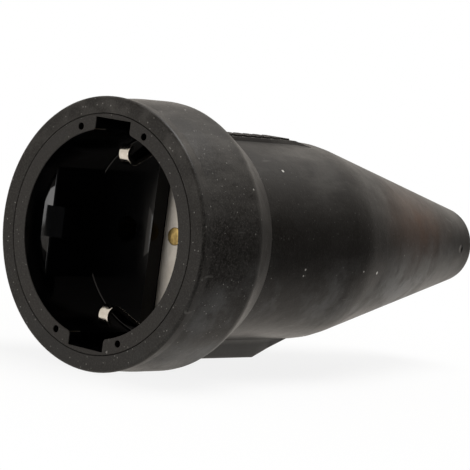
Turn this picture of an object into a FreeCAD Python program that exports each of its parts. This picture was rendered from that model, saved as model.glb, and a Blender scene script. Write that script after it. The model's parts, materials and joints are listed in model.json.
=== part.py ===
"""Inline socket connector: a rubber sleeve round a socket insert with two contacts and an earth strip.

Millimetres. The front face lies at Y = 0 and looks along -Y, the tail points along +Y, and the foot
is at -Z. The origin is the centre of the recess mouth. Depths are measured along +Y from the front.
"""
import FreeCAD, Part
import Sketcher
import math
import os

DRIVING_SIZES = {
    # recess and front ring
    "recess_r": 19.66,
    "ring_width": 2.94,
    "ring_thickness": 3.2,
    "notch_half_width": 4.4,
    "notch_web": 0.95,
    "ring_hole_r": 0.68,
    "ring_hole_inset": 1.3,
    "ring_hole_angle": 22.6,
    "bead_height": 0.6,
    "bead_width": 1.6,
    "seam_bevel": 0.3,
    "notch_round": 0.8,
    # clearances
    "fit_gap": 0.1,
    "cavity_gap": 0.2,
    "hole_gap": 0.05,
    # socket insert
    "floor_depth": 17.8,
    "flange_lip": 0.8,
    "flange_step": 2.5,
    "wall_relief": 0.3,
    "flat_inset": 2.66,
    "flat_setback": 0.6,
    "rib_height": 1.5,
    "rib_width": 6.0,
    "rib_lead": 2.4,
    "pin_spacing": 19.0,
    "pin_hole_r": 2.55,
    "pin_hole_lead": 0.5,
    # earth strip
    "strip_recess": 3.6,
    "strip_thickness": 0.8,
    "strip_backing": 1.0,
    "strip_half_width": 2.95,
    "strip_bend_r": 1.2,
    "channel_end_wall": 1.0,
    "clip_half_width": 2.0,
    "clip_crest_half_width": 1.3,
    "clip_tip_half_width": 0.8,
    "clip_knee_depth": 12.3,
    "clip_knee_inset": 4.45,
    "clip_knee_round": 6.0,
    "clip_crest_depth": 5.7,
    "clip_crest_inset": 8.2,
    "clip_lip_depth": 4.0,
    "clip_lip_inset": 6.2,
    "clip_tip_depth": 4.1,
    "clip_tip_inset": 4.6,
    # earth rivet and earth terminal
    "rivet_r": 1.4,
    "rivet_head_r": 1.75,
    "rivet_head_height": 0.25,
    "rivet_foot_r": 2.3,
    "rivet_foot_height": 0.8,
    "terminal_wall": 1.2,
    "terminal_bore_r": 2.6,
    # sleeve
    "total_length": 111.3,
    "rim_wall": 3.3,
    "rim_bevel": 0.5,
    "waist_depth": 3.0,
    "waist_drop": 0.45,
    "collar_depth": 8.5,
    "collar_drop": 0.15,
    "shoulder_lead": 2.0,
    "shoulder_round": 4.0,
    "boss_wall": 1.75,
    "step_wall": 1.2,
    "collar_bevel": 0.7,
    "edge_round": 1.2,
    "toe_drop": 0.5,
    "body_wall": 2.9,
    "cavity_space": 4.0,
    "cone_lead": 4.7,
    "outlet_r": 4.3,
    "outlet_length": 13.0,
    "tail_wall": 3.3,
    "tail_round": 2.4,
    # foot and top plate of the sleeve
    "foot_width": 8.0,
    "foot_height": 3.35,
    "foot_length": 20.6,
    "foot_ramp": 9.8,
    "plate_width": 8.0,
    "plate_height": 0.85,
    "plate_length": 27.6,
    "plate_ramp": 5.5,
    "bar_count": 8.0,
    "bar_margin": 2.0,
    "bar_width": 1.5,
    "bar_length": 6.0,
    "bar_height": 0.35,
    # contact carrier
    "carrier_step": 3.1,
    "carrier_disc": 9.0,
    "carrier_tail": 2.0,
    "shelf_thickness": 3.2,
    "keel_width": 2.0,
    "keel_height": 4.0,
    "fin_thickness": 1.2,
    "fin_gap": 0.7,
    "fin_overhang": 1.0,
    "tube_well_gap": 0.2,
    # contacts and their spring rings
    "tube_gap": 1.0,
    "tube_wall": 0.95,
    "tube_bore_r": 2.35,
    "pin_reach": 19.7,
    "slit_width": 0.8,
    "slit_length": 6.5,
    "groove_inset": 2.0,
    "groove_width": 2.5,
    "groove_bottom": 0.3,
    "spring_thickness": 0.7,
    "spring_opening": 50.0,
    "block_side": 7.2,
    "block_length": 10.0,
    "wire_hole_r": 1.7,
    "wire_hole_length": 4.0,
    "screw_setback": 2.2,
    # screws
    "screw_r": 1.4,
    "screw_head_r": 2.3,
    "screw_head_height": 1.6,
    "screw_slot_width": 0.7,
    "screw_slot_depth": 0.7,
    "screw_tip_gap": 0.5,
    "terminal_screw_length": 2.8,
    "base_screw_bite": 3.6,
    "base_screw_edge": 0.9,
    "base_screw_angle": 60.5,
    "clamp_screw_length": 7.0,
    # cord clamp
    "wire_room": 6.8,
    "clamp_width": 7.0,
    "clamp_inset": 4.0,
    "clamp_thickness": 2.4,
    "clamp_arch": 1.8,
    "clamp_foot_gap": 0.8,
    "clamp_arch_run": 1.9,
    "post_r": 2.6,
    "post_inset": 3.5,
    "post_top": 2.6,
}

TOUCH = 1e-6


class Size:
    """A length that carries both its number and the sheet expression that gives it."""

    def __init__(self, number, text):
        self.number = number
        self.text = text

    def __add__(self, other):
        other = as_size(other)
        return Size(self.number + other.number, f"({self.text} + {other.text})")

    def __radd__(self, other):
        return as_size(other) + self

    def __sub__(self, other):
        other = as_size(other)
        return Size(self.number - other.number, f"({self.text} - {other.text})")

    def __rsub__(self, other):
        return as_size(other) - self

    def __mul__(self, other):
        other = as_size(other)
        return Size(self.number * other.number, f"({self.text} * {other.text})")

    def __rmul__(self, other):
        return as_size(other) * self

    def __truediv__(self, other):
        other = as_size(other)
        return Size(self.number / other.number, f"({self.text} / {other.text})")

    def __neg__(self):
        return Size(-self.number, f"(-1 * {self.text})")

    def root(self):
        return Size(math.sqrt(self.number), f"sqrt({self.text})")

    def sine(self):
        return Size(math.sin(math.radians(self.number)), f"sin({self.text})")

    def cosine(self):
        return Size(math.cos(math.radians(self.number)), f"cos({self.text})")


def as_size(value):
    if isinstance(value, Size):
        return value
    return Size(float(value), f"{float(value)}")


class Sizes:
    """The driving sizes, each an aliased cell of the document's sheet."""

    def __init__(self, sheet, values):
        for row, (alias, number) in enumerate(values.items(), 1):
            sheet.set(f"A{row}", alias)
            sheet.set(f"B{row}", str(number))
            sheet.setAlias(f"B{row}", alias)
            setattr(self, alias, Size(number, f"{sheet.Name}.{alias}"))


doc = FreeCAD.newDocument("inline_socket_connector")
s = Sizes(doc.addObject("Spreadsheet::Sheet", "Sizes"), DRIVING_SIZES)
doc.recompute()

# radii that follow from the driving sizes
ring_r = s.recess_r + s.ring_width
mouth_r = ring_r + s.fit_gap
rim_r = mouth_r + s.rim_wall
collar_r = rim_r - s.collar_drop
insert_wall_r = s.recess_r + s.wall_relief
boss_r = ring_r - s.flange_step
carrier_r = boss_r - s.carrier_step
boss_seat_r = boss_r + s.fit_gap
collar_back_r = boss_seat_r + s.boss_wall
cavity_r = carrier_r + s.cavity_gap
body_r = cavity_r + s.body_wall
tail_r = s.outlet_r + s.tail_wall
foot_z = body_r + s.foot_height
plate_z = body_r + s.plate_height
notch_z = ring_r - s.notch_web
channel_half_width = s.strip_half_width + s.fit_gap
channel_end = boss_r - s.channel_end_wall
rivet_hole_r = s.rivet_r + s.hole_gap
screw_core_r = s.screw_r + s.hole_gap
screw_free_r = s.screw_r + 4 * s.hole_gap
tube_r = s.tube_bore_r + s.tube_wall
groove_r = tube_r - s.groove_bottom
tube_well_r = groove_r + s.hole_gap + s.spring_thickness + s.tube_well_gap

# depths
flange_back = s.floor_depth + s.flange_lip
strip_front = s.floor_depth + s.strip_recess
strip_back = strip_front + s.strip_thickness
strip_middle = (strip_front + strip_back) / 2
insert_back = strip_back + s.strip_backing
shoulder_depth = flange_back - s.shoulder_lead
collar_back = insert_back + s.step_wall
disc_back = insert_back + s.carrier_disc
block_back = disc_back + s.block_length
terminal_screw_depth = block_back - s.screw_setback
tube_start = insert_back + s.tube_gap
tube_bore_end = s.floor_depth + s.pin_reach
groove_start = tube_start + s.groove_inset
groove_end = groove_start + s.groove_width
clamp_front = block_back + s.wire_room
clamp_middle = clamp_front + s.clamp_width / 2
carrier_end = clamp_front + s.clamp_width + s.carrier_tail
cavity_depth = carrier_end + s.cavity_space
cone_depth = cavity_depth - s.cone_lead

# places across the part
pin_x = s.pin_spacing / 2
flat_x = s.recess_r - s.flat_inset
block_half = s.block_side / 2
shelf_top = -(block_half + s.fit_gap)
shelf_bottom = shelf_top - s.shelf_thickness
clamp_half_length = carrier_r - s.clamp_inset
post_x = clamp_half_length - s.post_inset
clamp_foot_x = post_x - s.screw_head_r - s.clamp_foot_gap
clamp_arch_x = clamp_foot_x - s.clamp_arch_run
clamp_top = s.post_top + s.clamp_thickness
base_screw_pitch_r = carrier_r - s.screw_head_r - s.base_screw_edge
base_screw_x = base_screw_pitch_r * s.base_screw_angle.cosine()
base_screw_z = base_screw_pitch_r * s.base_screw_angle.sine()
fin_top = base_screw_z - s.screw_head_r - s.fin_gap


def new_body(name):
    body = doc.addObject("PartDesign::Body", name)
    body.Label = name
    return body


def bind(thing, prop, value):
    """Tie one property, or one part of it, to the sheet."""
    if isinstance(value, Size):
        thing.setExpression(prop, value.text)


def origin_feature(body, role):
    return next(item for item in body.Origin.OriginFeatures if item.Role == role)


def new_sketch(body, name, role, offset=None):
    """A sketch on one of the body's own planes, moved along the plane's normal."""
    sketch = body.newObject("Sketcher::SketchObject", name)
    sketch.AttachmentSupport = [(origin_feature(body, role), "")]
    sketch.MapMode = "FlatFace"
    if offset is not None:
        sketch.AttachmentOffset = FreeCAD.Placement(
            FreeCAD.Vector(0, 0, as_size(offset).number), FreeCAD.Rotation()
        )
        bind(sketch, "AttachmentOffset.Base.z", offset)
    return sketch


def constrain(sketch, kind, *where, value=None):
    """Add a constraint and tie its value to the sheet."""
    if value is None:
        sketch.addConstraint(Sketcher.Constraint(kind, *where))
        return
    index = sketch.addConstraint(Sketcher.Constraint(kind, *where, as_size(value).number))
    bind(sketch, f"Constraints[{index}]", value)


def place(sketch, geometry, point, x, y):
    """Hold one point of a geometry at a place measured from the sketch's origin."""
    constrain(sketch, "DistanceX", -1, 1, geometry, point, value=as_size(x))
    constrain(sketch, "DistanceY", -1, 1, geometry, point, value=as_size(y))


def rounded_corner(before, corner, after, radius):
    """Where the round leaves its two lines, its centre, and whether it turns left."""
    first = (before - corner).normalize()
    second = (after - corner).normalize()
    half = first.getAngle(second) / 2
    reach = radius / math.tan(half)
    centre = corner + (first + second).normalize() * (radius / math.sin(half))
    left = first.cross(second).z < 0
    return corner + first * reach, corner + second * reach, centre, left


def outline(sketch, corners, closed=True):
    """Draw straight lines through (x, y) or (x, y, round) corners and tie each to its place."""
    places = [FreeCAD.Vector(as_size(c[0]).number, as_size(c[1]).number, 0) for c in corners]
    count = len(corners)
    entries = list(places)
    exits = list(places)
    arcs = {}
    for index, corner in enumerate(corners):
        if len(corner) == 3:
            around = places[index - 1], places[index], places[(index + 1) % count]
            entries[index], exits[index], centre, left = rounded_corner(*around, as_size(corner[2]).number)
            start, end = (entries[index], exits[index]) if left else (exits[index], entries[index])
            angles = [math.atan2(p.y - centre.y, p.x - centre.x) for p in (start, end)]
            circle_shape = Part.Circle(centre, FreeCAD.Vector(0, 0, 1), as_size(corner[2]).number)
            arc = sketch.addGeometry(Part.ArcOfCircle(circle_shape, angles[0], angles[1]), False)
            arcs[index] = arc, (1, 2) if left else (2, 1)
    line_count = count if closed else count - 1
    lines = []
    for index in range(line_count):
        segment = Part.LineSegment(exits[index], entries[(index + 1) % count])
        lines.append(sketch.addGeometry(segment, False))
    for index, corner in enumerate(corners):
        if index in arcs:
            arc, ends = arcs[index]
            point = sketch.addGeometry(Part.Point(places[index]), True)
            constrain(sketch, "Tangent", lines[index - 1], 2, arc, ends[0])
            constrain(sketch, "Tangent", arc, ends[1], lines[index], 1)
            constrain(sketch, "Radius", arc, value=corner[2])
            constrain(sketch, "PointOnObject", point, 1, lines[index - 1])
            constrain(sketch, "PointOnObject", point, 1, lines[index])
            place(sketch, point, 1, corner[0], corner[1])
        elif index < line_count:
            if closed or index > 0:
                constrain(sketch, "Coincident", lines[index - 1], 2, lines[index], 1)
            place(sketch, lines[index], 1, corner[0], corner[1])
        else:
            place(sketch, lines[-1], 2, corner[0], corner[1])
    return sketch


def circle(sketch, x, y, radius):
    centre = FreeCAD.Vector(as_size(x).number, as_size(y).number, 0)
    shape = Part.Circle(centre, FreeCAD.Vector(0, 0, 1), as_size(radius).number)
    ring = sketch.addGeometry(shape, False)
    constrain(sketch, "Radius", ring, value=radius)
    place(sketch, ring, 3, x, y)
    return sketch


def rectangle(x_low, x_high, y_low, y_high):
    return [(x_low, y_low), (x_high, y_low), (x_high, y_high), (x_low, y_high)]


def feature(body, kind, name, sketch, **bound):
    """One sketched feature, its sizes tied to the sheet, computed and checked on the way."""
    item = body.newObject(f"PartDesign::{kind}", name)
    item.Profile = sketch
    for prop, value in bound.items():
        if isinstance(value, (Size, float)):
            setattr(item, prop, as_size(value).number)
            bind(item, prop, value)
        else:
            setattr(item, prop, value)
    doc.recompute()
    body.Tip = item
    return item


def revolve(body, name, corners, **bound):
    """Turn a (depth, radius) outline about the Y axis."""
    sketch = outline(new_sketch(body, f"{name}_profile", "YZ_Plane"), corners)
    return feature(body, "Revolution", name, sketch, ReferenceAxis=(sketch, ["H_Axis"]), **bound)


def pad_back(body, name, sketch, length):
    """Raise a cross-section towards the tail."""
    return feature(body, "Pad", name, sketch, Length=length, Reversed=True)


def pocket_back(body, name, sketch, length):
    """Cut a cross-section towards the tail."""
    return cut(body, name, sketch, Length=length)


def cut(body, name, sketch, **bound):
    """A pocket that is known to take material away."""
    before = body.Shape.Volume
    item = feature(body, "Pocket", name, sketch, **bound)
    if not body.Shape.Volume < before:
        raise RuntimeError(f"{body.Label}: {name} cuts nothing")
    return item


def pad_across(body, name, role, corners, width):
    """Raise an outline by the same amount to both sides of its plane."""
    sketch = outline(new_sketch(body, f"{name}_outline", role), corners)
    return feature(body, "Pad", name, sketch, Length=width, SideType="Symmetric")


def mirror(body, name, originals, role):
    item = body.newObject("PartDesign::Mirrored", name)
    item.Originals = originals
    item.MirrorPlane = (origin_feature(body, role), [""])
    body.Tip = item
    doc.recompute()
    return item


def edge_names(shape, wanted):
    return [f"Edge{n}" for n, edge in enumerate(shape.Edges, 1) if wanted(edge)]


def dress(body, kind, name, wanted, prop, value):
    """Round or bevel the wanted edges of the body as it stands."""
    base = body.Tip
    item = body.newObject(f"PartDesign::{kind}", name)
    item.Base = (base, edge_names(base.Shape, wanted))
    setattr(item, prop, value.number)
    bind(item, prop, value)
    body.Tip = item
    doc.recompute()
    return item


def bead(start, width, base_r, height):
    """Corners of a square bead on a round wall, going back from its front edge."""
    return [
        (start, base_r),
        (start, base_r + height),
        (start + width, base_r + height),
        (start + width, base_r),
    ]


def centred_bead(front, back):
    """Bead on a piece of the insert, half-way between that piece's two faces."""
    start = (front + back - s.bead_width) / 2
    return bead(start, s.bead_width, ring_r, s.bead_height)


def bead_seat(front, back):
    """The sleeve's groove for that bead, going forward, with the fit gap all round."""
    start = (front + back - s.bead_width) / 2 - s.fit_gap
    seat = bead(start, s.bead_width + 2 * s.fit_gap, mouth_r, s.bead_height)
    return seat[::-1]


def build_sleeve():
    """Rubber moulding: collar, body and cone outside, stepped mouth and cavity inside."""
    body = new_body("sleeve")
    collar_slope = (collar_r - collar_back_r) / (collar_back - shoulder_depth)
    revolve(body, "sleeve_skin", [
        (s.seam_bevel, mouth_r),
        (0, mouth_r + s.seam_bevel),
        (0, rim_r - s.rim_bevel),
        (s.rim_bevel, rim_r),
        (s.waist_depth, rim_r - s.waist_drop, s.waist_depth),
        (s.collar_depth, collar_r, s.total_length / 4),
        (shoulder_depth, collar_r, s.shoulder_round),
        (collar_back - s.collar_bevel, collar_back_r + s.collar_bevel * collar_slope),
        (collar_back, collar_back_r - s.collar_bevel),
        (collar_back, body_r),
        (cone_depth, body_r, s.total_length / 4),
        (s.total_length, tail_r, s.tail_round),
        (s.total_length, s.outlet_r + s.seam_bevel),
        (s.total_length - s.seam_bevel, s.outlet_r),
        (s.total_length - s.outlet_length, s.outlet_r),
        (cavity_depth, cavity_r),
        (insert_back, cavity_r),
        (insert_back, boss_seat_r),
        (flange_back, boss_seat_r),
        (flange_back, mouth_r),
        *bead_seat(s.ring_thickness, flange_back),
        *bead_seat(0, s.ring_thickness),
    ])
    root_z = (body_r + cavity_r) / 2
    root_depth = (insert_back + collar_back) / 2
    foot_heel = (shoulder_depth + collar_back) / 2
    foot_end = collar_back + s.foot_length
    foot_toe = foot_end + s.foot_ramp
    pad_across(body, "foot", "YZ_Plane", [
        (foot_heel, -(collar_back_r + boss_seat_r) / 2),
        (foot_heel, -foot_z),
        (foot_end, -foot_z, s.edge_round),
        (foot_toe, -(body_r - s.toe_drop)),
        (foot_toe, -root_z),
        (root_depth, -root_z),
        (root_depth, -(collar_back_r + boss_seat_r) / 2),
    ], s.foot_width)
    plate_end = collar_back + s.plate_length
    plate_toe = plate_end + s.plate_ramp
    pad_across(body, "top_plate", "YZ_Plane", [
        (root_depth, root_z),
        (root_depth, plate_z),
        (plate_end, plate_z, s.edge_round),
        (plate_toe, body_r - s.toe_drop),
        (plate_toe, root_z),
    ], s.plate_width)
    first = collar_back + s.bar_margin
    pitch = (s.plate_length - 2 * s.bar_margin) / s.bar_count
    half = s.bar_length / 2
    bar = new_sketch(body, "bar_outline", "XY_Plane", plate_z - s.bar_height)
    outline(bar, rectangle(-half, half, first, first + s.bar_width))
    first_bar = feature(body, "Pad", "bar", bar, Length=2 * s.bar_height)
    bars = body.newObject("PartDesign::LinearPattern", "bars")
    bars.Originals = [first_bar]
    bars.Direction = (origin_feature(body, "Y_Axis"), [""])
    bars.Occurrences = int(s.bar_count.number)
    bars.Length = (pitch * (s.bar_count - 1)).number
    bind(bars, "Occurrences", s.bar_count)
    bind(bars, "Length", pitch * (s.bar_count - 1))
    body.Tip = bars
    doc.recompute()
    return body


def build_front_ring():
    """Matt ring in the mouth, notched for the clips, with four small holes."""
    body = new_body("front_ring")
    revolve(body, "ring", [
        (0, s.recess_r),
        (0, ring_r - s.seam_bevel),
        (s.seam_bevel, ring_r),
        *centred_bead(0, s.ring_thickness),
        (s.ring_thickness, ring_r),
        (s.ring_thickness, s.recess_r),
    ])
    notches = new_sketch(body, "notches_outline", "XZ_Plane")
    half = s.notch_half_width
    outline(notches, rectangle(-half, half, -notch_z, notch_z))
    pocket_back(body, "notches", notches, s.ring_thickness)
    dress(body, "Fillet", "notch_mouths", is_notch_mouth, "Radius", s.notch_round)
    holes = new_sketch(body, "holes_outline", "XZ_Plane")
    pitch_r = s.recess_r + s.ring_hole_inset
    across = pitch_r * s.ring_hole_angle.sine()
    up = pitch_r * s.ring_hole_angle.cosine()
    for x, z in ((across, up), (-across, up), (-across, -up), (across, -up)):
        circle(holes, x, z, s.ring_hole_r)
    pocket_back(body, "holes", holes, s.ring_thickness)
    return body


def is_notch_mouth(edge):
    """An edge along the ring's thickness where a notch opens into the recess."""
    ends = [vertex.Point for vertex in edge.Vertexes]
    along = len(ends) == 2 and abs(abs(ends[0].y - ends[1].y) - s.ring_thickness.number) < TOUCH
    return along and abs(math.hypot(ends[0].x, ends[0].z) - s.recess_r.number) < TOUCH


def build_socket_body():
    """Insert with the plug recess, its flats and ribs, the clip slots and the floor."""
    body = new_body("socket_body")
    front = s.ring_thickness
    revolve(body, "insert", [
        (front, insert_wall_r),
        (front, ring_r),
        *centred_bead(front, flange_back),
        (flange_back, ring_r),
        (flange_back, boss_r),
        (insert_back, boss_r),
        (insert_back, 0),
        (s.floor_depth, 0),
        (s.floor_depth, insert_wall_r),
    ])
    flat_half = (insert_wall_r * insert_wall_r - flat_x * flat_x).root()
    flat_front = front + s.flat_setback
    root = s.ring_width / 10
    half = flat_half + root
    middle_x = (flat_x + insert_wall_r) / 2
    flat = new_sketch(body, "flat_outline", "XZ_Plane", -flat_front)
    outline(flat, [
        (flat_x, -half), (middle_x, -half), (insert_wall_r + root, -half / 2),
        (insert_wall_r + root, half / 2), (middle_x, half), (flat_x, half),
    ])
    flat_pad = pad_back(body, "flat", flat, s.floor_depth - flat_front)
    rib = new_sketch(body, "rib_outline", "XY_Plane")
    rib_x = flat_x - s.rib_height
    outline(rib, [
        (flat_x + root, flat_front),
        (rib_x, flat_front),
        (rib_x, s.floor_depth + root),
        (flat_x + root, s.floor_depth + root),
    ])
    rib_pad = feature(body, "Pad", "rib", rib, Length=s.rib_width, SideType="Symmetric")
    lead = new_sketch(body, "rib_lead_outline", "XY_Plane")
    outline(lead, [
        (rib_x - root, flat_front - root),
        (insert_wall_r - root, flat_front - root),
        (insert_wall_r - root, flat_front),
        (rib_x, flat_front + s.rib_lead),
        (rib_x - root, flat_front + s.rib_lead),
    ])
    rib_lead = cut(body, "rib_lead", lead, Length=s.rib_width, SideType="Symmetric")
    mirror(body, "other_side", [flat_pad, rib_pad, rib_lead], "YZ_Plane")
    slots = new_sketch(body, "slots_outline", "XZ_Plane", -front)
    half = s.notch_half_width
    outline(slots, rectangle(-half, half, -notch_z, notch_z))
    pocket_back(body, "slots", slots, s.floor_depth - front)
    channel = new_sketch(body, "channel_outline", "XZ_Plane", -s.floor_depth)
    half = channel_half_width
    outline(channel, rectangle(-half, half, -channel_end, channel_end))
    pocket_back(body, "channel", channel, strip_back - s.floor_depth)
    holes = new_sketch(body, "floor_holes_outline", "XZ_Plane", -s.floor_depth)
    for x in (pin_x, -pin_x):
        circle(holes, x, 0, s.pin_hole_r)
    circle(holes, 0, 0, rivet_hole_r)
    pocket_back(body, "floor_holes", holes, insert_back - s.floor_depth)
    bite = s.base_screw_bite + s.screw_tip_gap
    screws = new_sketch(body, "screw_holes_outline", "XZ_Plane", bite - insert_back)
    for side in (1, -1):
        circle(screws, side * base_screw_x, side * base_screw_z, screw_core_r)
    pocket_back(body, "screw_holes", screws, bite)
    dress(body, "Chamfer", "pin_leads", is_pin_mouth, "Size", s.pin_hole_lead)
    return body


def is_pin_mouth(edge):
    """The front edge of a contact hole."""
    curve = edge.Curve
    if not isinstance(curve, Part.Circle):
        return False
    at_floor = abs(curve.Center.y - s.floor_depth.number) < TOUCH
    return at_floor and abs(abs(curve.Center.x) - pin_x.number) < TOUCH


def build_earth_strip():
    """One strip bent up at both ends into the spring clips, fastened in the middle."""
    body = new_body("earth_strip")
    path = new_sketch(body, "clip_path", "YZ_Plane")
    bend = s.strip_bend_r
    root_z = channel_end - s.fit_gap - s.strip_thickness / 8
    outline(path, [
        (strip_middle, 0),
        (strip_middle, root_z, bend),
        (s.clip_knee_depth, notch_z - s.clip_knee_inset, s.clip_knee_round),
        (s.clip_crest_depth, notch_z - s.clip_crest_inset, bend),
        (s.clip_lip_depth, notch_z - s.clip_lip_inset, bend),
        (s.clip_tip_depth, notch_z - s.clip_tip_inset),
    ], closed=False)
    section = new_sketch(body, "strip_section", "XY_Plane")
    half = s.strip_half_width
    outline(section, rectangle(-half, half, strip_front, strip_back))
    clip = body.newObject("PartDesign::AdditivePipe", "clip")
    clip.Profile = section
    clip.Spine = path
    body.Tip = clip
    doc.recompute()
    mirror(body, "both_clips", [clip], "XY_Plane")
    sides = new_sketch(body, "clip_sides", "XY_Plane")
    clip_back = strip_front - bend / 2
    for side in (1, -1):
        outer = side * s.strip_half_width * 2
        outline(sides, [
            (side * s.clip_tip_half_width, 0),
            (side * s.clip_crest_half_width, s.clip_crest_depth),
            (side * s.clip_half_width, s.clip_knee_depth),
            (side * s.clip_half_width, clip_back),
            (outer, clip_back),
            (outer, 0),
        ])
    cut(body, "narrow_clips", sides, Length=2 * ring_r, SideType="Symmetric")
    hole = circle(new_sketch(body, "rivet_hole_outline", "XZ_Plane"), 0, 0, rivet_hole_r)
    pocket_back(body, "rivet_hole", hole, insert_back)
    return body


def build_earth_rivet():
    """Brass rivet from the strip through floor and carrier to the earth terminal."""
    body = new_body("earth_rivet")
    front = strip_front - s.rivet_head_height
    foot = disc_back + s.terminal_wall
    foot_back = foot + s.rivet_foot_height
    revolve(body, "rivet", [
        (front, 0),
        (front, s.rivet_head_r - s.rivet_head_height / 2),
        (front + s.rivet_head_height / 2, s.rivet_head_r),
        (strip_front, s.rivet_head_r),
        (strip_front, s.rivet_r),
        (foot, s.rivet_r),
        (foot, s.rivet_foot_r),
        (foot_back - s.rivet_foot_height / 2, s.rivet_foot_r),
        (foot_back, s.rivet_foot_r - s.rivet_foot_height / 2),
        (foot_back, 0),
    ])
    return body


def build_contact_base():
    """Carrier behind the insert: bored disc, shelf with partitions, and posts for the clamp."""
    body = new_body("contact_base")
    revolve(body, "blank", [
        (insert_back, 0),
        (insert_back, carrier_r),
        (carrier_end, carrier_r),
        (carrier_end, 0),
    ])
    wide = cavity_r
    open_length = carrier_end - disc_back
    above = new_sketch(body, "above_outline", "XZ_Plane", -disc_back)
    outline(above, rectangle(-wide, wide, shelf_top, wide))
    pocket_back(body, "above_shelf", above, open_length)
    below = new_sketch(body, "below_outline", "XZ_Plane", -disc_back)
    outline(below, rectangle(-wide, wide, -wide, shelf_bottom))
    pocket_back(body, "below_shelf", below, open_length)
    root = s.shelf_thickness / 2
    keel = new_sketch(body, "keel_outline", "XZ_Plane", root - disc_back)
    half = s.keel_width / 2
    outline(keel, rectangle(-half, half, shelf_bottom - s.keel_height, shelf_bottom + root))
    pad_back(body, "keel", keel, open_length + root)
    fins = new_sketch(body, "fins_outline", "XZ_Plane", root - disc_back)
    for side in (1, -1):
        inner = side * (pin_x - s.fin_thickness) / 2
        outer = side * (pin_x + s.fin_thickness) / 2
        outline(fins, rectangle(inner, outer, shelf_top - root, fin_top))
    pad_back(body, "fins", fins, s.block_length + s.fin_overhang + root)
    posts = new_sketch(body, "posts_outline", "XY_Plane", shelf_top - root)
    for side in (1, -1):
        circle(posts, side * post_x, clamp_middle, s.post_r)
    feature(body, "Pad", "posts", posts, Length=s.post_top - shelf_top + root)
    threads = new_sketch(body, "post_holes_outline", "XY_Plane", s.post_top)
    for side in (1, -1):
        circle(threads, side * post_x, clamp_middle, screw_core_r)
    cut(body, "post_holes", threads, Length=s.clamp_screw_length - s.clamp_thickness + s.screw_tip_gap)
    holes = new_sketch(body, "disc_holes_outline", "XZ_Plane", -insert_back)
    for side in (1, -1):
        circle(holes, side * pin_x, 0, tube_well_r)
        circle(holes, side * base_screw_x, side * base_screw_z, screw_free_r)
    circle(holes, 0, 0, rivet_hole_r)
    pocket_back(body, "disc_holes", holes, s.carrier_disc)
    return body


def square_block(body, name, front, back, bore_r=None):
    """A stretch of terminal block, with a round bore along it if one is given."""
    sketch = new_sketch(body, f"{name}_outline", "XZ_Plane", -front)
    outline(sketch, rectangle(-block_half, block_half, -block_half, block_half))
    if bore_r is not None:
        circle(sketch, 0, 0, bore_r)
    pad_back(body, name, sketch, back - front)


def terminal_screw_hole(body):
    """The threaded hole from the block's top into its wire hole."""
    sketch = new_sketch(body, "screw_hole_outline", "XY_Plane", block_half)
    cut(body, "screw_hole", circle(sketch, 0, terminal_screw_depth, screw_core_r), Length=block_half)


def build_contact(name, side):
    """Slit brass tube for a plug pin, in one piece with its terminal block."""
    body = new_body(name)
    tube_end = disc_back + s.terminal_wall
    revolve(body, "tube", [
        (tube_start, s.tube_bore_r),
        (tube_start, tube_r),
        (groove_start, tube_r),
        (groove_start, groove_r),
        (groove_end, groove_r),
        (groove_end, tube_r),
        (tube_end, tube_r),
        (tube_end, s.tube_bore_r),
    ])
    square_block(body, "block", disc_back, tube_bore_end, s.tube_bore_r)
    square_block(body, "rear_block", tube_bore_end, block_back)
    wire = new_sketch(body, "wire_hole_outline", "XZ_Plane", s.wire_hole_length - block_back)
    pocket_back(body, "wire_hole", circle(wire, 0, 0, s.wire_hole_r), s.wire_hole_length)
    slits = new_sketch(body, "slits_outline", "XZ_Plane", -tube_start)
    near = s.slit_width / 2
    far = tube_well_r
    outline(slits, [
        (near, near), (far, near), (far, -near), (near, -near),
        (near, -far), (-near, -far), (-near, -near), (-far, -near),
        (-far, near), (-near, near), (-near, far), (near, far),
    ])
    pocket_back(body, "slits", slits, s.slit_length)
    terminal_screw_hole(body)
    bind(body, "Placement.Base.x", side * pin_x)
    return body


def build_spring_ring(name, side):
    """Open steel ring that closes the tube on the pin."""
    body = new_body(name)
    inner = groove_r + s.hole_gap
    outer = inner + s.spring_thickness
    front = groove_start + s.hole_gap
    back = groove_end - s.hole_gap
    corners = [(front, inner), (front, outer), (back, outer), (back, inner)]
    revolve(body, "ring", corners, Angle=360 - s.spring_opening)
    bind(body, "Placement.Base.x", side * pin_x)
    return body


def build_earth_terminal():
    """Brass block bored from behind for the earth wire, with the rivet through its front wall."""
    body = new_body("earth_terminal")
    bore_start = disc_back + s.terminal_wall
    square_block(body, "front_wall", disc_back, bore_start, rivet_hole_r)
    square_block(body, "block", bore_start, block_back, s.terminal_bore_r)
    terminal_screw_hole(body)
    return body


def build_screw(name, length, x, depth, z, towards_tail=False):
    """Slotted cheese-head screw, its head seated at the given place."""
    body = new_body(name)
    shank = circle(new_sketch(body, "shank_outline", "XY_Plane", -length), 0, 0, s.screw_r)
    feature(body, "Pad", "shank", shank, Length=length)
    head = circle(new_sketch(body, "head_outline", "XY_Plane"), 0, 0, s.screw_head_r)
    feature(body, "Pad", "head", head, Length=s.screw_head_height)
    slot = new_sketch(body, "slot_outline", "XY_Plane", s.screw_head_height)
    half = s.screw_slot_width / 2
    reach = s.screw_head_r + s.screw_r
    outline(slot, rectangle(-reach, reach, -half, half))
    cut(body, "slot", slot, Length=s.screw_slot_depth)
    if towards_tail:
        body.Placement.Rotation = FreeCAD.Rotation(FreeCAD.Vector(1, 0, 0), -90)
    for axis, value in zip("xyz", (x, depth, z)):
        bind(body, f"Placement.Base.{axis}", as_size(value))
    return body


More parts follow.
